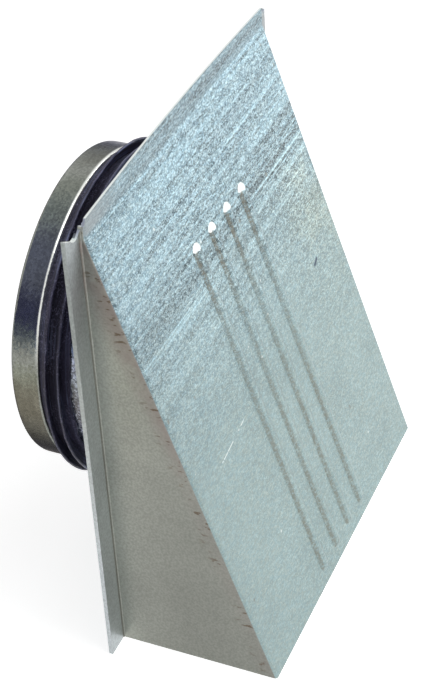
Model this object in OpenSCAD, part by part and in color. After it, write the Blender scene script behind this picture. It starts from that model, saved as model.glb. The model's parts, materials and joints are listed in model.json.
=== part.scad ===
// Wall vent hood: a folded sheet cover with four pressed ribs on a flat back plate,
// a round duct spigot with a folded end band, and a rubber seal with two lips.
// The wall plane is y = 0, the spigot runs to +y, and the hood hangs down to its rim at z = 0.

/* [Cover] */
// Width across the outer faces of the two cheeks
hood_w = 156; // [140:1:240]
// Depth at the bottom rim, from the wall plane to the outer face of the front panel
hood_d = 65; // [40:1:120]
// Height of the bend between the sloped front panel and the upright top flange
fold_h = 185; // [165:1:260]
// Height of the upright top flange above that bend, at the middle
top_flange_h = 9.5; // [8:0.5:15]
// How much lower the ends of its upper edge lie than the middle
crown_h = 2; // [1:0.5:3]
// Thickness of the cover sheet
sheet_t = 0.8; // [0.5:0.1:1]
// Outer radius of the folds between the front panel and the cheeks
fold_r = 1.2; // [1.1:0.1:3]
// Radius of the bends from the cheeks out to the side flanges, on the face side
bend_r = 0.7; // [0.5:0.1:2]
// Flat of the narrow cheek beside the top flange
step_flat = 0.1; // [0.1:0.1:3]

/* [Side flanges] */
// Width of the flange on the left, from the cheek outwards
left_flange_w = 10; // [8:0.5:25]
// Width of the flange on the right
right_flange_w = 6.5; // [6.5:0.5:25]
// Distance from the bend of the top flange up to the upper edge of the side flanges
flange_rise = 5; // [5:0.5:6]
// Radius of the round notch where three folds meet
relief_r = 3.5; // [2.5:0.1:4]
// Depth of that notch below the upper edge of the side flanges
relief_depth = 3.6; // [2.5:0.1:4]
// How far the round of the notch bites into the fold of the cheek
relief_bite = 0.2; // [0.1:0.1:0.4]
// Slant of the notch's inner side, from upright
relief_flare = 25; // [15:1:35]
// Slant of the notch's outer side, from upright
relief_slant = 61; // [30:1:62]
// How far below level, seen from the notch's middle, its outer side leaves the round
relief_turn = 35; // [20:1:40]

/* [Ribs] */
// Number of ribs pressed out of the front panel
rib_count = 4; // [1:1:6]
// Distance between the middles of two ribs
rib_pitch = 14; // [10:0.2:20]
// Width of a rib on the face of the panel
rib_w = 6; // [4:0.5:9]
// Height of a rib above the face of the panel
rib_h = 1.3; // [0.6:0.1:1.8]
// Distance down the panel from the top bend to the upper end of the ribs
rib_start = 37.5; // [20:0.5:60]
// Distance from the lower end of the ribs to the bottom rim
rib_stop = 5; // [3:1:40]

/* [Back plate] */
// Thickness of the back plate
plate_t = 0.8; // [0.5:0.1:1.5]
// Distance from the top bend of the cover down to the lip turned forward along the plate's top
lip_below = 6; // [4:0.5:12]
// Clearance between that lip and the inside of the cover
lip_fit = 0.2; // [0.1:0.1:0.5]

/* [Spigot] */
// Outer diameter of the end band, which enters the duct
spigot_d = 124; // [80:1:134]
// Height of the middle of the spigot above the bottom rim
spigot_z = 97.5; // [80:0.5:100]
// Length of the spigot behind the wall plane
spigot_l = 43; // [35:1:80]
// Thickness of the spigot sheet
tube_t = 0.6; // [0.5:0.1:0.8]
// Width of the sheet folded back over the seal at the end of the spigot
band_l = 11.6; // [8:0.1:14]
// Space between the tube and the folded band, which grips the foot of the seal
grip_gap = 1.2; // [1:0.1:2]
// Width of the collar flared out in front of the plate
collar_w = 5; // [3:0.5:6]
// Clearance between the tube and the hole in the plate
hole_fit = 0.1; // [0:0.05:0.5]

/* [Seal] */
// How far the first lip stands out past the end band
lip_out = 4; // [3:0.1:6]
// How much less the second lip stands out
lip_drop = 0.5; // [0:0.1:2]
// Distance between the two lips
lip_pitch = 5; // [4:0.1:6]
// Distance that each lip leans from its root towards the hood
lip_lean = 3; // [1:0.1:5]
// Distance from the end band to the root of the first lip
lip_start = 1.2; // [1:0.1:2]
// Thickness of a lip at its root
lip_root_t = 1.6; // [1.2:0.1:2]
// Thickness of a lip just before its tip
lip_neck_t = 0.7; // [0.5:0.1:0.8]
// Diameter of the round bead along the tip of a lip
lip_tip_d = 1; // [0.9:0.1:1.4]
// Thickness of the seal's base on the tube
web_t = 0.7; // [0.5:0.1:0.7]
// Length of the seal's base in front of the end band
web_l = 12; // [10:0.5:14]
// Clearance between the foot of the seal and the folded band
grip_fit = 0.1; // [0:0.05:0.2]

/* [Hidden] */

$fn = 96;
galvanised = "lightsteelblue";
bright_steel = "silver";
rubber = "#26242b";

// Cover: planes counted in y from the wall, with the front negative
cover_back = -plate_t;
flange_front = cover_back - sheet_t;
cheek_back = flange_front - bend_r;
top_front = cheek_back - step_flat - fold_r;
hood_h = fold_h + top_flange_h;
flange_h = fold_h + flange_rise;
slope_a = atan((hood_d + top_front) / fold_h);
slope_l = fold_h / cos(slope_a);
crown_r = (hood_w * hood_w / 4 + crown_h * crown_h) / (2 * crown_h);
// Cutting bodies reach this far past the cover
reach = hood_w + hood_h + hood_d;

// A rib is a slice of a round bar that lies this deep below the face of the panel
rib_r = (rib_w * rib_w / 4 + rib_h * rib_h) / (2 * rib_h);
rib_first = rib_start + rib_w / 2;
rib_last = slope_l - rib_stop - rib_w / 2;

// Notch
relief_x = hood_w / 2 + relief_r - relief_bite;
relief_z = flange_h - relief_depth + relief_r;
relief_touch = relief_r * [cos(relief_turn), -sin(relief_turn)];

// Spigot: radii, and places along its axis from the wall plane
band_r = spigot_d / 2;
tube_r = band_r - tube_t - grip_gap;
turn_r = grip_gap / 2 + tube_t;
crimp_r = tube_t + grip_gap - web_t - grip_fit;
band_front = spigot_l - band_l;

// Seal
lip_r = band_r + lip_out;
web_front = band_front - web_l;

// Turns a section drawn as radius and distance from the wall plane about the spigot's axis
module about_spigot() {
    translate([0, 0, spigot_z]) rotate([-90, 0, 0]) rotate_extrude() children();
}

// Places things on the sloped panel: the face is y = 0, and -z runs down the slope
module on_slope() {
    translate([0, top_front, fold_h]) rotate([-slope_a, 0, 0]) children();
}

// Plan of the cover's outside or, with a depth below the face, of its inside
module channel_plan(depth) {
    half_w = hood_w / 2 - depth;
    corner_r = fold_r - depth;
    translate([-half_w, depth + corner_r]) square([2 * half_w, reach]);
    translate([corner_r - half_w, depth]) square([2 * (half_w - corner_r), reach]);
    for (side = [-1, 1]) translate([side * (half_w - corner_r), depth + corner_r]) circle(corner_r);
}

// Everything below, or above, the mitre of the top bend
module mitre_side(below) {
    translate([0, top_front, fold_h]) rotate([-slope_a / 2, 0, 0])
        translate([-reach, -reach, below ? -2 * reach : 0]) cube(2 * reach);
}

// Solid body of the cover down to the given depth below its face
module channel(depth) {
    intersection() {
        on_slope() translate([0, 0, -reach]) linear_extrude(2 * reach) channel_plan(depth);
        mitre_side(true);
    }
    intersection() {
        translate([0, top_front, 0]) linear_extrude(2 * reach) channel_plan(depth);
        mitre_side(false);
    }
}

// Round-ended bars that press the ribs out, at full size or less the sheet
module rib_bars(depth) {
    for (i = [0:rib_count - 1])
        on_slope() translate([(i - (rib_count - 1) / 2) * rib_pitch, rib_r - rib_h, 0]) {
            translate([0, 0, -rib_last]) cylinder(h = rib_last - rib_first, r = rib_r - depth);
            for (end = [rib_first, rib_last]) translate([0, 0, -end]) sphere(rib_r - depth);
        }
}

// Bend and side flange on the +x side, in plan
module flange_plan(flange_w) {
    bend_x = hood_w / 2 + bend_r;
    intersection() {
        translate([bend_x, cheek_back]) difference() {
            circle(bend_r + sheet_t);
            circle(bend_r);
        }
        translate([bend_x - bend_r - sheet_t, cheek_back]) square(bend_r + sheet_t);
    }
    translate([bend_x, flange_front]) square([flange_w - bend_r, sheet_t]);
}

// Round notches at the two upper corners, open to the top
module corner_relief() {
    for (side = [0, 1]) mirror([side, 0, 0]) translate([relief_x, reach / 2, relief_z]) rotate([90, 0, 0]) {
        cylinder(h = reach, r = relief_r);
        linear_extrude(reach) polygon([
            [-relief_r, 0],
            relief_touch,
            relief_touch + reach * [sin(relief_slant), cos(relief_slant)],
            [-relief_r - reach * tan(relief_flare), reach]
        ]);
    }
}

// One folded sheet: ribbed front panel, two cheeks, top flange and side flanges
module hood_cover() {
    color(galvanised) difference() {
        union() {
            difference() {
                union() {
                    intersection() {
                        channel(0);
                        translate([-reach, cheek_back - reach, 0]) cube([2 * reach, reach, hood_h]);
                        translate([0, 0, hood_h - crown_r]) rotate([90, 0, 0])
                            cylinder(h = reach, r = crown_r, $fn = 480);
                    }
                    rib_bars(0);
                }
                channel(sheet_t);
                rib_bars(sheet_t);
            }
            linear_extrude(flange_h) flange_plan(right_flange_w);
            mirror([1, 0, 0]) linear_extrude(flange_h) flange_plan(left_flange_w);
        }
        corner_relief();
    }
}

// Flat plate behind the flanges; its top is turned forward to meet the front panel from inside
module back_plate() {
    plate_left = -hood_w / 2 - left_flange_w;
    plate_w = hood_w + left_flange_w + right_flange_w;
    lip_z = fold_h - lip_below;
    lip_w = hood_w - 2 * (sheet_t + lip_fit);
    // The panel leans away below the bend, so the upper face of the lip stops it
    lip_front = top_front + sheet_t / cos(slope_a) - lip_below * tan(slope_a) + lip_fit;
    tab_x = hood_w / 2 + bend_r;
    color(galvanised) difference() {
        union() {
            translate([plate_left, -plate_t, 0]) cube([plate_w, plate_t, lip_z - plate_t]);
            translate([plate_left, -plate_t, 0]) cube([left_flange_w - bend_r, plate_t, flange_h]);
            translate([tab_x, -plate_t, 0]) cube([right_flange_w - bend_r, plate_t, flange_h]);
            translate([-lip_w / 2, -plate_t, lip_z - plate_t]) rotate([90, 0, 90]) linear_extrude(lip_w)
                intersection() {
                    circle(plate_t);
                    square(plate_t);
                }
            translate([-lip_w / 2, lip_front, lip_z - plate_t]) cube([lip_w, -plate_t - lip_front, plate_t]);
        }
        corner_relief();
        translate([0, reach / 2, spigot_z]) rotate([90, 0, 0])
            cylinder(h = reach, r = tube_r + hole_fit);
    }
}

// Section of the tube: collar turned out in front of the plate, and the folded end band
module spigot_section() {
    translate([tube_r - tube_t, -plate_t]) square([tube_t, plate_t + spigot_l - turn_r]);
    intersection() {
        translate([tube_r, -plate_t]) circle(tube_t);
        translate([tube_r - tube_t, -plate_t - tube_t]) square(tube_t);
    }
    translate([tube_r, -plate_t - tube_t]) square([collar_w, tube_t]);
    end_fold();
}

// Half turn at the end of the tube, and the band with its turned-in front edge
module end_fold() {
    intersection() {
        translate([tube_r + grip_gap / 2, spigot_l - turn_r]) difference() {
            circle(turn_r);
            circle(turn_r - tube_t);
        }
        translate([tube_r - tube_t, spigot_l - turn_r]) square([2 * turn_r, turn_r]);
    }
    translate([band_r - tube_t, band_front + crimp_r]) square([tube_t, band_l - crimp_r - turn_r]);
    intersection() {
        translate([band_r - crimp_r, band_front + crimp_r]) difference() {
            circle(crimp_r);
            circle(crimp_r - tube_t);
        }
        translate([band_r - crimp_r, band_front]) square(crimp_r);
    }
}

// One rolled tube, folded at both ends
module duct_spigot() {
    color(bright_steel) about_spigot() spigot_section();
}

// One lip in section: it leans towards the hood and thins to a small bead at its tip
module lip_section(root_s, tip_r) {
    root = [tube_r, root_s];
    tip = [tip_r - lip_tip_d / 2, root_s - lip_lean];
    along = (tip - root) / norm(tip - root);
    across = [-along[1], along[0]];
    polygon([
        root - across * lip_root_t / 2,
        tip - across * lip_neck_t / 2,
        tip + across * lip_neck_t / 2,
        root + across * lip_root_t / 2
    ]);
    translate(tip) circle(d = lip_tip_d);
}

// Section of the seal: foot gripped by the band, base along the tube, two lips
module seal_section() {
    foot_front = band_front + crimp_r;
    foot_back = spigot_l - turn_r;
    first_root = band_front - lip_start;
    translate([tube_r, web_front]) square([web_t, web_l + crimp_r]);
    translate([tube_r, foot_front]) square([grip_gap - grip_fit, foot_back - foot_front]);
    intersection() {
        union() {
            lip_section(first_root, lip_r);
            lip_section(first_root - lip_pitch, lip_r - lip_drop);
        }
        translate([tube_r, 0]) square([lip_r, spigot_l]);
    }
}

// Moulded rubber ring
module lip_seal() {
    color(rubber) about_spigot() seal_section();
}

hood_cover();
back_plate();
duct_spigot();
lip_seal();
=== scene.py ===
"""Finishes, rubber seal and studio of a galvanised wall vent hood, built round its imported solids."""

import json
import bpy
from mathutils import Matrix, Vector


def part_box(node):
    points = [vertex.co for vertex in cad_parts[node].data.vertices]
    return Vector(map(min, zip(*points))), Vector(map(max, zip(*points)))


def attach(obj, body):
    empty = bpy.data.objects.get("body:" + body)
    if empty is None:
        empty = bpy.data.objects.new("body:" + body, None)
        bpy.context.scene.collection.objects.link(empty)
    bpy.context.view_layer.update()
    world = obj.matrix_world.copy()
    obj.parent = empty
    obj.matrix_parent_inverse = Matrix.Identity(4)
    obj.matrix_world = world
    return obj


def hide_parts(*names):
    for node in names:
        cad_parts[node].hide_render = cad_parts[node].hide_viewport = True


bl_info = {
    "name": "Wall vent hood",
    "version": (1, 0, 0),
    "blender": (4, 5, 0),
    "location": "View3D > Sidebar > Vent hood",
    "description": "Builds the finishes, the rubber seal and the studio of a wall vent hood",
    "category": "Add Mesh",
}

from functools import partial, reduce
from math import cos, pi, radians, sin

import bpy
from bpy.props import FloatProperty, FloatVectorProperty, IntProperty, PointerProperty
from bpy.types import Operator, Panel, PropertyGroup
from mathutils import Matrix, Vector

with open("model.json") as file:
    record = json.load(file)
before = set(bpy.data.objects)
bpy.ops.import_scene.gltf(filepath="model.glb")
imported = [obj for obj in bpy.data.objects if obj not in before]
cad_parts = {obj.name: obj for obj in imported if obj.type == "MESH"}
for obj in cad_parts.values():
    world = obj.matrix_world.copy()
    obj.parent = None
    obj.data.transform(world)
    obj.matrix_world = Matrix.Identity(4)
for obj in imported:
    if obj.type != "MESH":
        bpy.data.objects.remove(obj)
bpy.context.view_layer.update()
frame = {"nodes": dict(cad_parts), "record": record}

COVER_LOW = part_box("hood_cover")[0]
SPIGOT_LOW, SPIGOT_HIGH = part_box("duct_spigot")
SEAL_LOW, SEAL_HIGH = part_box("lip_seal")
AXIS_Z = (SPIGOT_LOW.z + SPIGOT_HIGH.z) / 2
DUCT_END = next(mount for mount in frame["record"]["mounts"] if mount["name"] == "duct_end")
BAND_RADIUS = DUCT_END["dims"]["r_mm"] / 1000

# Places on the solids that the finishes follow, in metres like every x, y and z below
SHEET = 0.0008  # thickness of the cover
HALF_WIDTH = 0.078  # from the middle to the outside of a cheek
TOP_BEND = 0.185  # height of the bend between the front panel and the top flange
RIB_STRIP = 0.031  # half the width of the strip that holds the ribs
BAND_FRONT = 0.0314  # where the spigot's end band starts
BLOOM_END = 0.022  # where the bloom on the tube ends, under the seal's web
# How far the front panel comes back for each metre that it rises
SLOPE = 0.332
UP_SLOPE = Vector((0, SLOPE, 1)).normalized()

# Share of a lip's length, from the tube, where its bead takes over from its neck
BEAD_START = 0.88
# How far the bead turns past a half circle at each end, down to the neck, in radians
BEAD_OVERLAP = 0.5
NECK_STEPS = 5
BEAD_STEPS = 8

# Tones of the cards that the metal reflects
MIST, NAVY, SLATE = (0.45, 0.54, 0.62), (0.09, 0.095, 0.22), (0.27, 0.29, 0.43)
GREY, PALE = (0.6, 0.68, 0.73), (0.9, 0.95, 0.93)
BEIGE, TAN, BROWN = (0.88, 0.9, 0.78), (0.8, 0.73, 0.63), (0.36, 0.34, 0.31)
DUSK, SHADE = (0.4, 0.38, 0.34), (0.36, 0.35, 0.32)
X, Z = 0, 2
# Each card's name, low and high corners, the axis along which its tone changes, and the tones on that axis
FLAGS = (
    ("left_wall", (-1.2, 0.1, 0), (-1.2, 1.8, 2.2), Z, ((0, MIST), (0.4, NAVY), (0.65, NAVY), (1.15, SLATE))),
    ("ceiling", (-1.2, 0.3, 2.2), (1.6, 2, 2.2), X, ((-0.7, SLATE), (0.3, GREY), (1.2, PALE))),
    # Painted shadow: this card stands in for the floor's shadow under the spigot, seen only in the spigot's
    # reflection
    ("shadow_under_spigot", (-0.36, 0.055, 0.001), (0.2, 0.2, 0.001), X, ((-0.3, BEIGE), (-0.13, TAN), (-0.02, BROWN))),
    ("front_wall", (-1, -1.7, 0), (0.7, -1.7, 0.2), Z, ((0, DUSK), (0.2, SHADE))),
)
# What the lamps look at
HOOD_MIDDLE = (0, -0.02, 0.12)
FLOOR_Z = -0.0002  # just clear of the part's lowest faces


def colour(name, what, rgb):
    return FloatVectorProperty(name=name, description=what, subtype="COLOR", size=3, min=0, max=1, default=rgb)


def length(name, what, metres):
    return FloatProperty(name=name, description=what, subtype="DISTANCE", unit="LENGTH", default=metres)


def share(name, what, value):
    return FloatProperty(name=name, description=what, min=0, max=1, subtype="FACTOR", default=value)


def power(name, what, watts):
    return FloatProperty(name=name, description=what, unit="POWER", default=watts)


class ZincFinish(PropertyGroup):
    """Galvanised coat of the cover and the back plate."""

    # The two face tones are the coat's colour with a painted reflection, bluer near the top
    low_coat_and_reflection_colour: colour("Lower face", "Coat near the bottom rim", (0.31, 0.395, 0.385))
    high_coat_and_reflection_colour: colour("Upper face", "Bluer coat near the top", (0.236, 0.352, 0.4))
    # The cheeks' tone is a duller coat with painted shade
    side_coat_and_shade_colour: colour("Cheeks", "Duller coat of the cheeks", (0.31, 0.32, 0.285))
    flange_colour: colour("Side flanges", "Coat of the flanges beside the cheeks", (0.336, 0.362, 0.37))
    back_colour: colour("Back", "Greyer coat of the faces that look to the wall", (0.44, 0.45, 0.45))
    plain_colour: colour("Top flange's end", "Smooth coat at the left end of the top flange", (0.3, 0.325, 0.335))
    haze_colour: colour("Haze", "Brownish bloom beside the front folds", (0.258, 0.22, 0.205))
    scar_colour: colour("Scar", "Short dark dent at the right of the face", (0.06, 0.085, 0.12))
    stain_colour: colour("Stains", "Brown marks beside the front folds", (0.12, 0.085, 0.055))
    warm_colour: colour("Warm patch", "Yellowish patch at the right edge of the face", (0.38, 0.42, 0.34))
    # Painted shade on the rib shoulders; the same tone makes the dark specks
    shoulder_shade_and_speck_colour: colour("Rib shoulders", "Rubbed coat on the shoulders of the ribs", (0.2, 0.19, 0.155))
    # The bare cut edges' tone, also used for painted highlights: glints, the rib heads and the sparkle near the top
    edge_and_highlight_colour: colour("Cut edges", "Bare bright edge of the sheet", (0.8, 0.84, 0.82))
    spangle: length("Spangle", "Size of one crystal of the coat", 0.00056)
    tilt: share("Spangle tilt", "How far the crystals lean out of the surface", 0.12)


class SpigotFinish(PropertyGroup):
    """Sheet of the duct spigot."""

    metal_colour: colour("Metal", "Bright rolled sheet", (0.26, 0.27, 0.245))
    dull_colour: colour("Dull patches", "Where the sheet has dulled", (0.21, 0.215, 0.19))
    # Tone of the painted highlight on the band's front edge and fold
    edge_and_highlight_colour: colour("Folded edge", "Burnished front edge of the end band", (0.85, 0.86, 0.82))
    bloom_colour: colour("Bloom", "Bluish bloom on the tube between plate and seal", (0.42, 0.46, 0.58))
    # Painted shade on the tube under the bloom, deepest beside the plate
    tube_shade_colour: colour("Grime", "Duller tone under the bloom, most of all beside the plate", (0.15, 0.157, 0.182))
    roughness: share("Roughness", "Roughness of the rolled sheet", 0.16)


class SealShape(PropertyGroup):
    """Moulded rubber ring with a foot, a web on the tube and two lips."""

    rubber_colour: colour("Rubber", "Colour of the rubber", (0.058, 0.052, 0.096))
    # Tone of the painted highlight lines round the ring
    highlight_line_colour: colour("Moulding lines", "Bluish lines round the ring", (0.24, 0.27, 0.44))
    dust_colour: colour("Dust", "Specks on the rubber", (0.24, 0.23, 0.36))
    grip_depth: length("Grip depth", "From the end band's outside in to the tube", 0.0018)
    web: length("Web", "Thickness of the web on the tube", 0.0007)
    foot: length("Foot", "Thickness of the foot under the band", 0.0011)
    foot_front: length("Foot front", "Where the foot starts, along the spigot", 0.0324)
    first_lip: length("First lip", "Root of the lip beside the band, along the spigot", 0.0302)
    pitch: length("Lip pitch", "From one lip to the next", 0.005)
    drop: length("Lip drop", "How much lower the lip nearer the hood stands", 0.0005)
    lean: length("Lean", "How far a lip leans towards the hood", 0.003)
    root: length("Root", "Thickness of a lip at the tube", 0.0022)
    neck: length("Neck", "Thickness of a lip below its bead", 0.0007)
    bead: length("Bead", "Diameter of the bead along a lip", 0.0011)
    wave: length("Wave", "How far the web's front edge wavers", 0.0032)
    wave_scale: length("Wave scale", "Size of one wave", 0.006)
    lip_wave: share("Lip wave", "Share of that waver that the tips of the lips follow", 0.35)
    smooth_angle: FloatProperty(
        name="Smooth angle", description="Folds below this angle look round", subtype="ANGLE", default=radians(40)
    )
    steps: IntProperty(name="Steps", description="Number of steps round the ring", min=24, default=288)


class StudioSettings(PropertyGroup):
    """Camera and light."""

    lens: FloatProperty(
        name="Lens", description="Focal length in millimetres", subtype="DISTANCE_CAMERA", default=98.5
    )
    key_power: power("Key light", "Power of the large soft light on the right", 7.4)
    front_power: power("Front light", "Power of the soft light in front", 3.2)
    top_power: power("Top light", "Power of the soft light from above", 3.6)
    world_level: FloatProperty(name="World level", description="Strength of the even light all round", default=0.37)


def deselect_all():
    """Leaves nothing selected, so that an operator acts only on what is picked next."""
    bpy.ops.object.select_all(action="DESELECT")


class Nodes:
    """Adds shader nodes to a tree; a method that works out a value returns its output socket."""

    def __init__(self, tree):
        self.tree = tree

    def add(self, kind, **settings):
        made = self.tree.nodes.new(kind)
        for name, value in settings.items():
            setattr(made, name, value)
        return made

    def feed(self, socket, value):
        """Links a socket to another, or sets it to a number, a vector or a colour of three parts."""
        if isinstance(value, bpy.types.NodeSocket):
            self.tree.links.new(value, socket)
        elif socket.type == "RGBA":
            socket.default_value = (*value, 1)
        else:
            socket.default_value = value

    def math(self, operation, *values):
        made = self.add("ShaderNodeMath", operation=operation)
        for socket, value in zip(made.inputs, values):
            self.feed(socket, value)
        return made.outputs[0]

    def plus(self, *values):
        return reduce(partial(self.math, "ADD"), values)

    def times(self, *values):
        return reduce(partial(self.math, "MULTIPLY"), values)

    def most(self, *values):
        return reduce(partial(self.math, "MAXIMUM"), values)

    def minus(self, first, second):
        return self.math("SUBTRACT", first, second)

    def absolute(self, value):
        return self.math("ABSOLUTE", value)

    def vector(self, operation, *values, scale=None):
        made = self.add("ShaderNodeVectorMath", operation=operation)
        for socket, value in zip(made.inputs, values):
            self.feed(socket, value)
        if scale is not None:
            self.feed(made.inputs["Scale"], scale)
        return made.outputs["Value" if operation in ("DOT_PRODUCT", "LENGTH") else "Vector"]

    def parts(self, vector):
        made = self.add("ShaderNodeSeparateXYZ")
        self.feed(made.inputs[0], vector)
        return made.outputs

    def join(self, x, y, z):
        made = self.add("ShaderNodeCombineXYZ")
        for socket, value in zip(made.inputs, (x, y, z)):
            self.feed(socket, value)
        return made.outputs[0]

    def place(self, scale=(1, 1, 1), shift=(0, 0, 0)):
        """Object coordinates, scaled and shifted."""
        mapping = self.add("ShaderNodeMapping")
        self.feed(mapping.inputs["Vector"], self.add("ShaderNodeTexCoord").outputs["Object"])
        mapping.inputs["Location"].default_value = shift
        mapping.inputs["Scale"].default_value = scale
        return mapping.outputs[0]

    def noise(self, where, scale=1.0, detail=2.0, roughness=0.5):
        made = self.add("ShaderNodeTexNoise")
        self.feed(made.inputs["Vector"], where)
        made.inputs["Scale"].default_value = scale
        made.inputs["Detail"].default_value = detail
        made.inputs["Roughness"].default_value = roughness
        return made.outputs[0]

    def cells(self, where, scale=1.0):
        """Outputs of a pattern of cells: Color is random for each, and Distance grows from its middle."""
        made = self.add("ShaderNodeTexVoronoi")
        self.feed(made.inputs["Vector"], where)
        made.inputs["Scale"].default_value = scale
        return made.outputs

    def ramp(self, value, low, high, start=0.0, end=1.0):
        """Start at the low value and before it, end at the high one and past it, smooth between them."""
        made = self.add("ShaderNodeMapRange", interpolation_type="SMOOTHSTEP")
        self.feed(made.inputs["Value"], value)
        for name, number in zip(("From Min", "From Max", "To Min", "To Max"), (low, high, start, end)):
            self.feed(made.inputs[name], number)
        return made.outputs[0]

    def fade(self, value):
        """1 where the value is 0, and 0 where it is 1."""
        return self.ramp(value, 0, 1, 1, 0)

    def mix(self, share_of, first, second, blend="MIX"):
        """The first colour with a share of the second one."""
        made = self.add("ShaderNodeMix", data_type="RGBA", blend_type=blend)
        factor, first_colour, second_colour = made.inputs[0], made.inputs[6], made.inputs[7]
        for socket, value in ((factor, share_of), (first_colour, first), (second_colour, second)):
            self.feed(socket, value)
        return made.outputs[2]

    def shade(self, tone, light):
        """The tone times a brightness or a tint."""
        return self.mix(1.0, tone, light, "MULTIPLY")

    def seen(self):
        """1 for the rays of the camera and of reflections, 0 for those that light the scene."""
        rays = self.add("ShaderNodeLightPath").outputs
        return self.most(rays["Is Camera Ray"], rays["Is Glossy Ray"], rays["Is Transmission Ray"])


class Recipe(Nodes):
    """The nodes of one material."""

    def __init__(self, name):
        self.material = bpy.data.materials.new(name)
        self.material.use_nodes = True
        super().__init__(self.material.node_tree)
        self.surface = self.tree.nodes["Principled BSDF"]

    def set(self, **inputs):
        """Sets or links inputs of the surface, named as in Blender with _ for each space."""
        for name, value in inputs.items():
            self.feed(self.surface.inputs[name.replace("_", " ")], value)

    def locate(self):
        """Reads where on the part a point lies, and which way the surface looks there."""
        self.here = self.place()
        self.x, self.y, self.z = self.parts(self.here)
        self.facing = self.add("ShaderNodeNewGeometry").outputs["Normal"]
        self.nx, self.ny, self.nz = self.parts(self.facing)

    def random_lean(self, cells, amount):
        """A small vector that differs from one cell to the next."""
        return self.vector("SCALE", self.vector("SUBTRACT", cells["Color"], (0.5, 0.5, 0.5)), scale=amount)

    def leaning(self, lean):
        """The way the surface looks, turned a little by a vector."""
        return self.vector("NORMALIZE", self.vector("ADD", self.facing, lean))

    def glow(self, tone=(1, 1, 1), strength=1.0):
        """A shader that gives off light."""
        glow = self.add("ShaderNodeEmission")
        self.feed(glow.inputs["Color"], tone)
        self.feed(glow.inputs["Strength"], strength)
        return glow.outputs[0]

    def show(self, shader):
        self.feed(self.tree.nodes["Material Output"].inputs["Surface"], shader)


def zinc_light(r, spark, streaks):
    """Brightness of the coat: grain, streaks and lone lines over wide clouds, calmer below and at the left; painted
    light makes the grain stronger near the top, and painted shade darkens the left side and a band high up.
    """
    x, z = r.x, r.z
    grain = r.times(r.minus(spark, 0.51), r.ramp(z, 0.07, 0.165, 0.34, 0.94))
    bands = r.ramp(r.noise(r.place(scale=(4, 4, 150))), 0.38, 0.62, -0.08, 0.08)
    streak = r.plus(bands, r.ramp(streaks, 0.4, 0.6, -0.19, 0.19))
    streak = r.times(streak, r.ramp(z, 0.1, 0.145, 0.1, 1))
    line = r.ramp(r.noise(r.place(scale=(8, 8, 1100)), detail=1.0), 0.66, 0.7, 0, 0.5)
    line = r.times(line, r.ramp(z, 0.115, 0.13))
    at_right = r.times(r.ramp(x, 0.02, 0.06), r.ramp(z, 0.13, 0.16, 0.3, 0), r.ramp(z, 0.05, 0.085))
    fine = r.times(r.plus(grain, streak, line), r.ramp(x, -0.08, -0.01, 0.6, r.plus(at_right, 0.95)))

    cloud = r.ramp(r.noise(r.here, 32, 3.0), 0.3, 0.7, 0.96, 1.04)
    # Painted shade: darker towards the left, most of all high up, and in a narrow band near the top
    across = r.times(r.ramp(x, -0.08, 0.06, -0.12, -0.03), r.ramp(z, 0.04, 0.15, 0.35, 1.3))
    dark_band = r.times(r.ramp(z, 0.134, 0.142, 0, -0.13), r.ramp(z, 0.149, 0.156, 1, 0))
    return r.plus(fine, cloud, across, dark_band)


def straight_mark(r, middle, along, reach, width):
    """A thin line on the front panel: middle and direction as (x, z), half its length, and its width."""
    from_middle = r.vector("SUBTRACT", r.here, (middle[0], 0, middle[1]))
    off = r.absolute(r.vector("DOT_PRODUCT", from_middle, (-along[1], 0, along[0])))
    run = r.absolute(r.vector("DOT_PRODUCT", from_middle, (along[0], 0, along[1])))
    return r.times(r.ramp(off, width / 3, width, 1, 0), r.ramp(run, reach * 0.8, reach * 1.2, 1, 0))


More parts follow.
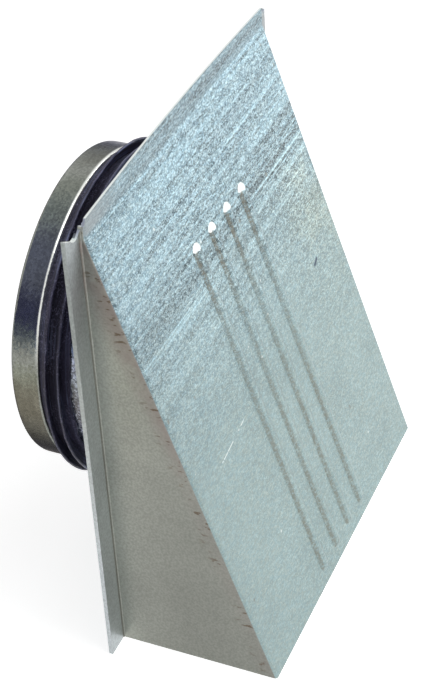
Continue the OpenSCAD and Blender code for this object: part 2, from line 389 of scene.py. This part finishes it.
def zinc_face(r, s, behind, crystals, streaks):
    """Colour of the front panel and of all else that looks forward or back."""
    x, z, in_front = r.x, r.z, r.fade(behind)
    # Painted reflection: the face goes from the lower tone to the bluer upper one going up
    base = r.mix(r.ramp(z, 0.055, TOP_BEND), s.low_coat_and_reflection_colour, s.high_coat_and_reflection_colour)
    from_patch = r.join(r.minus(x, 0.066), 0, r.times(r.minus(z, 0.109), 0.7))
    patch = r.ramp(r.vector("LENGTH", from_patch), 0.008, 0.03, 0.42, 0.1)
    clouds = r.ramp(r.noise(r.here, 75), 0.35, 0.6, 0.35, 1)
    height = r.times(r.ramp(z, 0.05, 0.12, 0.2, 1), r.ramp(z, 0.13, 0.15, 1, 0.3))
    base = r.mix(r.times(patch, in_front, clouds, height), base, s.warm_colour)

    # Each crystal has its own tint and brightness, and smaller ones lie between them
    spark_of_each, tint_of_each, _ = r.parts(crystals["Color"])
    base = r.shade(base, r.mix(tint_of_each, (1.03, 0.99, 0.97), (0.94, 1.01, 1.08)))
    coarse = r.times(r.math("POWER", spark_of_each, 2.5), 0.7)
    small = r.parts(r.cells(r.place(scale=(0.8, 1, 1)), 1.5 / s.spangle)["Color"])[2]
    spark = r.plus(coarse, r.times(r.math("POWER", small, 2.5), 1.1))
    face = r.shade(base, zinc_light(r, spark, streaks))
    # Painted highlight: the brightest crystals glint white, more so towards the top
    face = r.mix(r.times(spark, r.ramp(z, 0.08, 0.17, 0, 0.16)), face, s.edge_and_highlight_colour)

    # The top flange is smoother and greyer towards its left end
    plain = r.times(r.ramp(z, TOP_BEND + 0.0005, TOP_BEND + 0.002), r.ramp(x, -HALF_WIDTH, -0.045, 0.75, 0))
    face = r.mix(plain, face, s.plain_colour)

    # A bright scratch that breaks off and on, and a short dark dent
    scratch = straight_mark(r, middle=(-0.046, 0.0828), along=(0.994, 0.11), reach=0.012, width=0.0003)
    scratch = r.times(scratch, r.ramp(r.noise(r.here, 420, 1.0), 0.4, 0.5, 0, 0.75), in_front)
    face = r.mix(scratch, face, s.edge_and_highlight_colour)
    scar = straight_mark(r, middle=(0.053, 0.0965), along=(0.93, 0.37), reach=0.0021, width=0.001)
    face = r.mix(r.times(scar, in_front), face, s.scar_colour)

    # A few bright glints and dark specks
    glint = r.cells(r.place(scale=(85, 85, 75), shift=(0.5, 0.2, 0.7)))["Distance"]
    face = r.mix(r.ramp(glint, 0.03, 0.055, 0.6, 0), face, s.edge_and_highlight_colour)
    speck = r.cells(r.place(scale=(70, 70, 45)))["Distance"]
    return r.mix(r.ramp(speck, 0.03, 0.06, 0.6, 0), face, s.shoulder_shade_and_speck_colour)


def zinc_side(r, s):
    """Duller coat of the cheeks and the side flanges, with painted shade and light, and haze and marks beside the
    front folds.
    """
    y, z = r.y, r.z
    on_flange = r.ramp(r.absolute(r.x), HALF_WIDTH + 0.0005, HALF_WIDTH + 0.0012)
    on_cheek = r.minus(1.0, on_flange)
    base = r.mix(on_flange, s.side_coat_and_shade_colour, s.flange_colour)
    fine = r.ramp(r.noise(r.here, 1100), 0.3, 0.7, 0.88, 1.12)
    cloud = r.ramp(r.noise(r.here, 45, 3.0), 0.3, 0.7, 0.95, 1.05)
    # Painted shade and light: the cheeks darker low down and towards the front, the flanges lighter low down
    low_and_back = r.ramp(z, 0.03, 0.09, r.ramp(y, -0.012, -0.002, 1, 1.15), 1)
    cheek_light = r.times(r.ramp(z, 0.03, 0.13, 0.78, 0.95), r.ramp(y, -0.03, -0.002, 1, 1.22), low_and_back)
    flange_light = r.ramp(z, 0.1, 0.16, 1.48, 1)
    base = r.shade(base, r.times(fine, cloud, r.ramp(on_flange, 0, 1, cheek_light, flange_light)))

    # Painted shade: the bend out to the flange is darkened to a line
    sideways = r.absolute(r.nx)
    bend = r.times(r.ramp(sideways, 0.05, 0.3), r.ramp(sideways, 0.8, 0.97, 1, 0))
    base = r.shade(base, r.ramp(bend, 0, 1, 1, 0.45))

    from_fold = r.plus(r.vector("DOT_PRODUCT", r.here, (0, 1, -SLOPE)), -COVER_LOW.y)
    haze = r.times(
        r.ramp(from_fold, 0.001, r.ramp(z, 0.11, 0.17, 0.009, 0.015), 0.9, 0),
        r.ramp(z, 0.05, 0.15, 0.25, 1),
        r.ramp(r.noise(r.here, 110, 3.0), 0.35, 0.6, 0.45, 1),
        r.ramp(z, TOP_BEND - 0.003, TOP_BEND + 0.001, 1, 0),
    )
    marks = r.times(
        r.ramp(r.noise(r.place(scale=(1, 230, 560)), detail=3.0), 0.575, 0.64),
        r.ramp(from_fold, 0.003, 0.009, 0.85, 0),
        r.ramp(r.noise(r.here, 75, 1.0), 0.38, 0.5),
    )
    base = r.mix(r.times(haze, on_cheek), base, s.haze_colour)
    return r.mix(r.times(marks, on_cheek), base, s.stain_colour)


def rib_strip(r):
    """1 on the strip of the front panel that holds the ribs."""
    return r.ramp(r.absolute(r.x), RIB_STRIP - 0.001, RIB_STRIP + 0.001, 1, 0)


def painted_shoulder_shade(r):
    """How much painted shade lies on the shoulders of the ribs: most of all below their heads."""
    left = r.times(r.ramp(r.nx, -0.25, -0.5), r.ramp(r.nx, -0.85, -0.72))
    right = r.ramp(r.nx, 0.4, 0.6, 0, 0.6)
    shade_strength = r.most(r.ramp(r.z, 0.12, 0.137, 0.3, 0.62), r.ramp(r.z, 0.06, 0.1, 0.5, 0.3))
    grain = r.ramp(r.noise(r.here, 900, 3.0), 0.36, 0.6, 0.4, 1.3)
    return r.times(r.plus(left, right), rib_strip(r), shade_strength, grain)


def painted_head_highlights(r):
    """1 on the heads of the ribs, where a highlight is painted."""
    looks_up = r.ramp(r.vector("DOT_PRODUCT", r.facing, UP_SLOPE), 0.08, 0.22)
    return r.times(looks_up, rib_strip(r), r.ramp(r.z, 0.1, 0.11), r.ramp(r.ny, -0.2, -0.4))


def cut_edges(r):
    """1 on the cut edges of the sheet, which look up, down, or out of the round notches."""
    level = r.ramp(r.absolute(r.nz), 0.93, 0.97)
    notch = r.times(
        r.ramp(r.absolute(r.ny), 0.2, 0.1),
        r.ramp(r.absolute(r.nx), 0.97, 0.9),
        r.ramp(r.y, -SHEET - 0.0001, -SHEET + 0.0001, 1, 0.15),
    )
    return r.most(level, notch)


def upright_light(r):
    """Brightness that makes the upright top flange darker towards its right end."""
    upright = r.absolute(r.ny)
    flange = r.ramp(r.z, TOP_BEND - 0.0005, TOP_BEND + 0.001, 1, r.ramp(r.x, -0.05, 0.06, 0.96, 0.81))
    return r.most(r.times(r.ramp(upright, 0.97, 0.99), flange), r.ramp(upright, 0.97, 0.99, 1, 0))


def zinc_material(s):
    """Hot-dip galvanised sheet: crystals, rolling streaks, dull cheeks with painted shade, stained folds, bright
    cut edges, painted shade on the rib shoulders and painted highlights on the rib heads.
    """
    r = Recipe("galvanised_sheet")
    r.locate()
    crystals = r.cells(r.place(scale=(0.4, 1, 1)), 1 / s.spangle)
    streaks = r.noise(r.place(scale=(11, 11, 600)))
    behind = r.ramp(r.ny, 0.3, 0.6)
    beside = r.times(r.ramp(r.absolute(r.x), HALF_WIDTH - 0.0001, HALF_WIDTH + 0.0001), r.fade(behind))
    dull = r.most(r.ramp(r.absolute(r.nx), 0.86, 0.97), beside)

    face = r.shade(zinc_face(r, s, behind, crystals, streaks), upright_light(r))
    face = r.mix(r.times(behind, 0.55), face, s.back_colour)
    tone = r.mix(dull, face, zinc_side(r, s))
    tone = r.mix(painted_shoulder_shade(r), tone, s.shoulder_shade_and_speck_colour)
    tone = r.mix(painted_head_highlights(r), tone, s.edge_and_highlight_colour)
    tone = r.mix(cut_edges(r), tone, s.edge_and_highlight_colour)

    tilt = r.times(
        r.ramp(r.z, 0.05, 0.17, 0.35, 1), r.ramp(dull, 0, 1, s.tilt, s.tilt * 0.6), r.ramp(behind, 0, 1, 1, 0.4)
    )
    rough = r.plus(r.ramp(streaks, 0.3, 0.7, 0.31, 0.35), r.times(r.most(dull, behind), 0.07))
    r.set(Base_Color=tone, Normal=r.leaning(r.random_lean(crystals, tilt)), Roughness=rough, Metallic=0.9)
    return r.material


def spigot_material(s):
    """Bright rolled sheet: lines round the tube, dulled patches, a painted highlight on the fold, and a bloom on
    the tube over painted shade.
    """
    r = Recipe("spigot_sheet")
    r.locate()
    y = r.y
    lines = r.noise(r.place(scale=(14, 900, 14)), detail=3.0)
    patches = r.noise(r.here, 55, 4.0)
    grains = r.cells(r.here, 1400)
    tone = r.mix(r.ramp(patches, 0.42, 0.62), s.metal_colour, s.dull_colour)
    grain_light = r.ramp(r.parts(grains["Color"])[0], 0, 1, -0.16, 0.16)
    tone = r.shade(tone, r.plus(r.ramp(lines, 0.3, 0.7, 0.94, 1.05), grain_light))

    # Along the upper part of the band, the front edge and the round fold behind it get a painted highlight
    upper = r.ramp(r.z, 0.106, 0.13)
    front_edge = r.times(r.ramp(r.ny, -0.02, -0.2), upper, r.ramp(y, BAND_FRONT - 0.0014, BAND_FRONT - 0.0009))
    fold = r.ramp(y, BAND_FRONT - 0.0004, BAND_FRONT - 0.0002)
    fold = r.times(fold, r.ramp(y, BAND_FRONT + 0.001, BAND_FRONT + 0.002, 1, 0), upper)
    towards_front = r.join(0, r.times(fold, -0.42), 0)

    # The outside of the tube has a bluish bloom up to the seal, over painted shade that deepens beside the plate
    outward = r.vector("DOT_PRODUCT", r.facing, r.vector("SUBTRACT", r.here, (0, 0, AXIS_Z)))
    bare = r.times(r.ramp(y, BLOOM_END - 0.0005, BLOOM_END + 0.0005, 1, 0), r.ramp(outward, -0.02, 0.02))
    spark = r.math("POWER", r.parts(r.cells(r.here, 1500)["Color"])[1], 2.0)
    bloom = r.mix(spark, s.tube_shade_colour, s.bloom_colour)
    # Painted shade: the tube darkens towards the plate
    bloom = r.mix(r.ramp(y, 0.009, 0.018, 0.75, 0), bloom, s.tube_shade_colour)
    tone = r.mix(bare, tone, bloom)

    # Painted highlight on the band's front edge and fold
    tone = r.mix(r.most(front_edge, fold), tone, s.edge_and_highlight_colour)
    lean = r.vector("ADD", r.random_lean(grains, 0.09), towards_front)
    rough = r.ramp(patches, 0.3, 0.7, s.roughness, s.roughness + 0.08)
    r.set(Base_Color=tone, Normal=r.leaning(lean), Roughness=rough, Metallic=1.0, Specular_Tint=(0.3, 0.3, 0.36))
    return r.material


def rubber_material(s):
    """Dark rubber with painted highlight lines round the ring and specks of dust."""
    r = Recipe("seal_rubber")
    r.locate()
    tone = r.shade(s.rubber_colour, r.ramp(r.noise(r.here, 70, 3.0), 0.35, 0.65, 0.7, 1.25))

    # The painted highlight lines follow the section, so they run round the ring and only waver a little
    radius = r.vector("LENGTH", r.join(r.x, 0, r.minus(r.z, AXIS_Z)))
    section = r.join(r.times(radius, 1500), r.times(r.y, 1500), 0)
    lines = r.noise(r.vector("ADD", section, r.place(scale=(30, 30, 30))), detail=1.0)
    lines = r.times(r.ramp(lines, 0.52, 0.63), r.ramp(r.noise(r.here, 60, 1.0), 0.4, 0.6, 0.25, 1))
    tone = r.mix(lines, tone, s.highlight_line_colour)

    # The side of a lip that looks away from the hood gets painted shade and is matt
    away = r.ramp(r.ny, 0.05, 0.3)
    tone = r.shade(tone, r.ramp(away, 0, 1, 1, 0.55))
    specks = r.times(r.ramp(r.noise(r.here, 1300), 0.5, 0.68), r.ramp(r.noise(r.here, 90), 0.4, 0.6, 0.1, 0.9))
    tone = r.mix(specks, tone, s.dust_colour)
    rough = r.plus(r.ramp(specks, 0, 1, 0.36, 0.5), r.times(away, 0.45))

    bump = r.add("ShaderNodeBump")
    bump.inputs["Strength"].default_value = 0.3
    bump.inputs["Distance"].default_value = 0.0004
    r.feed(bump.inputs["Height"], r.noise(r.here, 520, 4.0, 0.6))
    r.set(Base_Color=tone, Normal=bump.outputs[0], Roughness=rough, Specular_IOR_Level=0.45)
    return r.material


def lip_outline(s, root, inner, reach):
    """One side of a leaning lip, the bead round its tip, and the other side, as (along, radius) points."""
    foot = Vector((root, inner))
    tip = Vector((root - s.lean, reach - s.bead / 2))
    along = (tip - foot).normalized()
    across = Vector((along.y, -along.x))
    leaves_web = s.web / (tip.y - inner)
    climb = [leaves_web + (BEAD_START - leaves_web) * k / NECK_STEPS for k in range(NECK_STEPS + 1)]
    half = [(s.neck + (s.root - s.neck) * (1 - t) ** 2) / 2 for t in climb]
    front = [foot.lerp(tip, t) - across * h for t, h in zip(climb, half)]
    back = [foot.lerp(tip, t) + across * h for t, h in zip(climb, half)]
    turns = [-BEAD_OVERLAP + (pi + 2 * BEAD_OVERLAP) * k / BEAD_STEPS for k in range(BEAD_STEPS + 1)]
    bead = [tip + (along * sin(a) - across * cos(a)) * s.bead / 2 for a in turns]
    return front + bead + back[::-1]


def seal_outline(s):
    """Closed section of the ring as (along, radius) points."""
    inner = BAND_RADIUS - s.grip_depth
    outer = SEAL_HIGH.z - AXIS_Z
    front, back = SEAL_LOW.y, SEAL_HIGH.y
    points = [Vector((front, inner)), Vector((front, inner + s.web))]
    points += lip_outline(s, s.first_lip - s.pitch, inner, outer - s.drop)
    points += lip_outline(s, s.first_lip, inner, outer)
    points += [Vector((s.foot_front, inner + s.web)), Vector((s.foot_front, inner + s.foot))]
    return points + [Vector((back, inner + s.foot)), Vector((back, inner))]


def draw_section(points):
    """Adds a vertex on the ring's section and draws the closed section with it."""
    start = Vector((0, points[0].x, AXIS_Z + points[0].y))
    bpy.ops.mesh.primitive_plane_add(size=0.001, location=start)
    bpy.ops.object.mode_set(mode="EDIT")
    bpy.ops.mesh.merge(type="CENTER")
    for here, there in zip(points, points[1:] + points[:1]):
        step = (0, there.x - here.x, there.y - here.y)
        bpy.ops.mesh.extrude_vertices_move(TRANSFORM_OT_translate={"value": step})


def weigh_waver(seal, s):
    """Vertex group of what wavers: all of the web's front edge, and a growing share of the lips."""
    web_radius = BAND_RADIUS - s.grip_depth + s.web
    tip_height = SEAL_HIGH.z - AXIS_Z - web_radius
    loose = seal.vertex_groups.new(name="loose edge")
    for vertex in seal.data.vertices:
        above_web = Vector((vertex.co.x, vertex.co.z - AXIS_Z)).length - web_radius
        at_front = vertex.co.y < SEAL_LOW.y + s.web
        weight = 1.0 if at_front else max(0.0, above_web / tip_height) * s.lip_wave
        loose.add([vertex.index], weight, "REPLACE")
    return loose


def build_seal(s):
    """Spins the section round the spigot's axis and lets its front edge and lips waver."""
    deselect_all()
    draw_section(seal_outline(s))
    bpy.ops.mesh.select_all(action="SELECT")
    bpy.ops.mesh.spin(steps=s.steps, angle=2 * pi, center=(0, 0, AXIS_Z), axis=(0, 1, 0))
    bpy.ops.mesh.select_all(action="SELECT")
    bpy.ops.mesh.remove_doubles(threshold=0.00001)
    bpy.ops.mesh.normals_make_consistent(inside=False)
    bpy.ops.object.mode_set(mode="OBJECT")
    bpy.ops.object.transform_apply(location=True, rotation=True, scale=True)
    seal = bpy.context.object
    seal.name = "rubber_seal"
    waves = bpy.data.textures.new("seal_waves", "CLOUDS")
    waves.noise_scale = s.wave_scale
    waver = seal.modifiers.new("waver", "DISPLACE")
    waver.texture = waves
    waver.texture_coords = "LOCAL"
    waver.direction = "Y"
    waver.vertex_group = weigh_waver(seal, s).name
    waver.strength = s.wave
    bpy.ops.object.modifier_apply(modifier=waver.name)
    bpy.ops.object.shade_smooth_by_angle(angle=s.smooth_angle)
    return seal


def dress(piece, material):
    piece.data.materials.clear()
    piece.data.materials.append(material)


class VENTHOOD_OT_sheet(Operator):
    """Give the cover and the back plate their galvanised coat"""

    bl_idname = "venthood.sheet"
    bl_label = "Finish the folded sheet"

    def execute(self, context):
        zinc = zinc_material(context.scene.zinc_finish)
        for name in ("hood_cover", "back_plate"):
            dress(frame["nodes"][name], zinc)
        return {"FINISHED"}


class VENTHOOD_OT_spigot(Operator):
    """Give the spigot its bright rolled sheet"""

    bl_idname = "venthood.spigot"
    bl_label = "Finish the spigot"

    def execute(self, context):
        dress(frame["nodes"]["duct_spigot"], spigot_material(context.scene.spigot_finish))
        return {"FINISHED"}


class VENTHOOD_OT_seal(Operator):
    """Spin the rubber ring and set it on the spigot"""

    bl_idname = "venthood.seal"
    bl_label = "Build the seal"

    def execute(self, context):
        s = context.scene.seal_shape
        seal = build_seal(s)
        dress(seal, rubber_material(s))
        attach(seal, "root")
        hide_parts("lip_seal")
        return {"FINISHED"}


def floor_material():
    """Pale floor that shows white to the camera and to bright metal, and keeps the shadow."""
    r = Recipe("floor")
    r.set(Base_Color=(0.8, 0.8, 0.8), Roughness=1.0, Specular_IOR_Level=0.0)
    total = r.add("ShaderNodeAddShader")
    r.feed(total.inputs[0], r.surface.outputs[0])
    r.feed(total.inputs[1], r.glow(strength=r.times(r.seen(), 0.7)))
    r.show(total.outputs[0])
    return r.material


def white_world(level):
    """Even light all round, which shows white to the camera and to bright metal."""
    world = bpy.data.worlds.new("studio")
    world.use_nodes = True
    n = Nodes(world.node_tree)
    background = n.tree.nodes["Background"]
    n.feed(background.inputs["Color"], (1, 1, 1))
    n.feed(background.inputs["Strength"], n.ramp(n.seen(), 0, 1, level, 1))
    return world


def soft_light(name, place, size, watts):
    """A square area lamp turned to the middle of the hood."""
    bpy.ops.object.light_add(type="AREA", location=place)
    lamp = bpy.context.object
    lamp.name = name
    lamp.data.size = size
    lamp.data.energy = watts
    lamp.rotation_euler = (Vector(HOOD_MIDDLE) - Vector(place)).to_track_quat("-Z", "Y").to_euler()


def flag(name, low, high, axis, stops):
    """A plain card that only shows as a reflection; its tone changes along one axis between the stops."""
    low, high = Vector(low), Vector(high)
    size = high - low
    # A plane lies level at first; it turns to look along the axis on which the card has no size
    turn = ((0, pi / 2, 0), (pi / 2, 0, 0), (0, 0, 0))[list(size).index(0)]
    deselect_all()
    bpy.ops.mesh.primitive_plane_add(size=1, rotation=turn)
    bpy.ops.object.transform_apply(location=False, rotation=True, scale=False)
    card = bpy.context.object
    card.name = name
    card.scale = [side or 1 for side in size]
    card.location = (low + high) / 2
    bpy.ops.object.transform_apply(location=True, rotation=False, scale=True)
    r = Recipe(name)
    along = r.parts(r.place())[axis]
    tone = stops[0][1]
    for (start, _), (end, next_tone) in zip(stops, stops[1:]):
        tone = r.mix(r.ramp(along, start, end), tone, next_tone)
    r.show(r.glow(tone))
    dress(card, r.material)
    for ray in ("camera", "diffuse", "transmission", "volume_scatter", "shadow"):
        setattr(card, f"visible_{ray}", False)


def photo_camera(lens):
    """Puts the camera where the photograph was taken from."""
    right = Vector((0.3906, -0.9192, -0.0496))
    down = Vector((-0.5739, -0.2010, -0.7939))
    forward = Vector((0.7198, 0.3385, -0.6061))
    bpy.ops.object.camera_add()
    camera = bpy.context.object
    camera.name = "camera"
    camera.data.sensor_fit = "VERTICAL"
    camera.data.sensor_height = 36
    camera.data.lens = lens
    pose = Matrix((right, -down, -forward)).transposed().to_4x4()
    pose.translation = Vector((-0.52082, -0.25502, 0.52676))
    camera.matrix_world = pose
    bpy.context.scene.camera = camera


class VENTHOOD_OT_stage(Operator):
    """Set the floor, the world, the lamps, the flags and the camera"""

    bl_idname = "venthood.stage"
    bl_label = "Build the stage"

    def execute(self, context):
        s = context.scene.studio
        deselect_all()
        bpy.ops.mesh.primitive_plane_add(size=10, location=(0, 0, FLOOR_Z))
        floor = context.object
        floor.name = "floor"
        dress(floor, floor_material())
        context.scene.world = white_world(s.world_level)
        soft_light("key", (0.95, -0.85, 0.6), 1.05, s.key_power)
        soft_light("front", (-0.35, -1.5, 0.62), 0.5, s.front_power)
        soft_light("top", (-0.1, -0.6, 1.5), 0.9, s.top_power)
        for card in FLAGS:
            flag(*card)
        photo_camera(s.lens)
        context.scene.view_settings.view_transform = "Standard"
        deselect_all()
        return {"FINISHED"}


class VENTHOOD_PT_panel(Panel):
    """Lists the steps in order"""

    bl_label = "Vent hood"
    bl_idname = "VENTHOOD_PT_panel"
    bl_space_type = "VIEW_3D"
    bl_region_type = "UI"
    bl_category = "Vent hood"

    def draw(self, context):
        for step in STEPS:
            self.layout.operator(step.bl_idname)


SETTINGS = {
    "zinc_finish": ZincFinish,
    "spigot_finish": SpigotFinish,
    "seal_shape": SealShape,
    "studio": StudioSettings,
}
STEPS = (VENTHOOD_OT_sheet, VENTHOOD_OT_spigot, VENTHOOD_OT_seal, VENTHOOD_OT_stage)
CLASSES = (*SETTINGS.values(), *STEPS, VENTHOOD_PT_panel)


def register():
    for cls in CLASSES:
        bpy.utils.register_class(cls)
    for name, cls in SETTINGS.items():
        setattr(bpy.types.Scene, name, PointerProperty(type=cls))


def unregister():
    for name in SETTINGS:
        delattr(bpy.types.Scene, name)
    for cls in reversed(CLASSES):
        bpy.utils.unregister_class(cls)


def main():
    register()
    bpy.ops.venthood.sheet()
    bpy.ops.venthood.spigot()
    bpy.ops.venthood.seal()
    bpy.ops.venthood.stage()


if __name__ == "__main__":
    main()
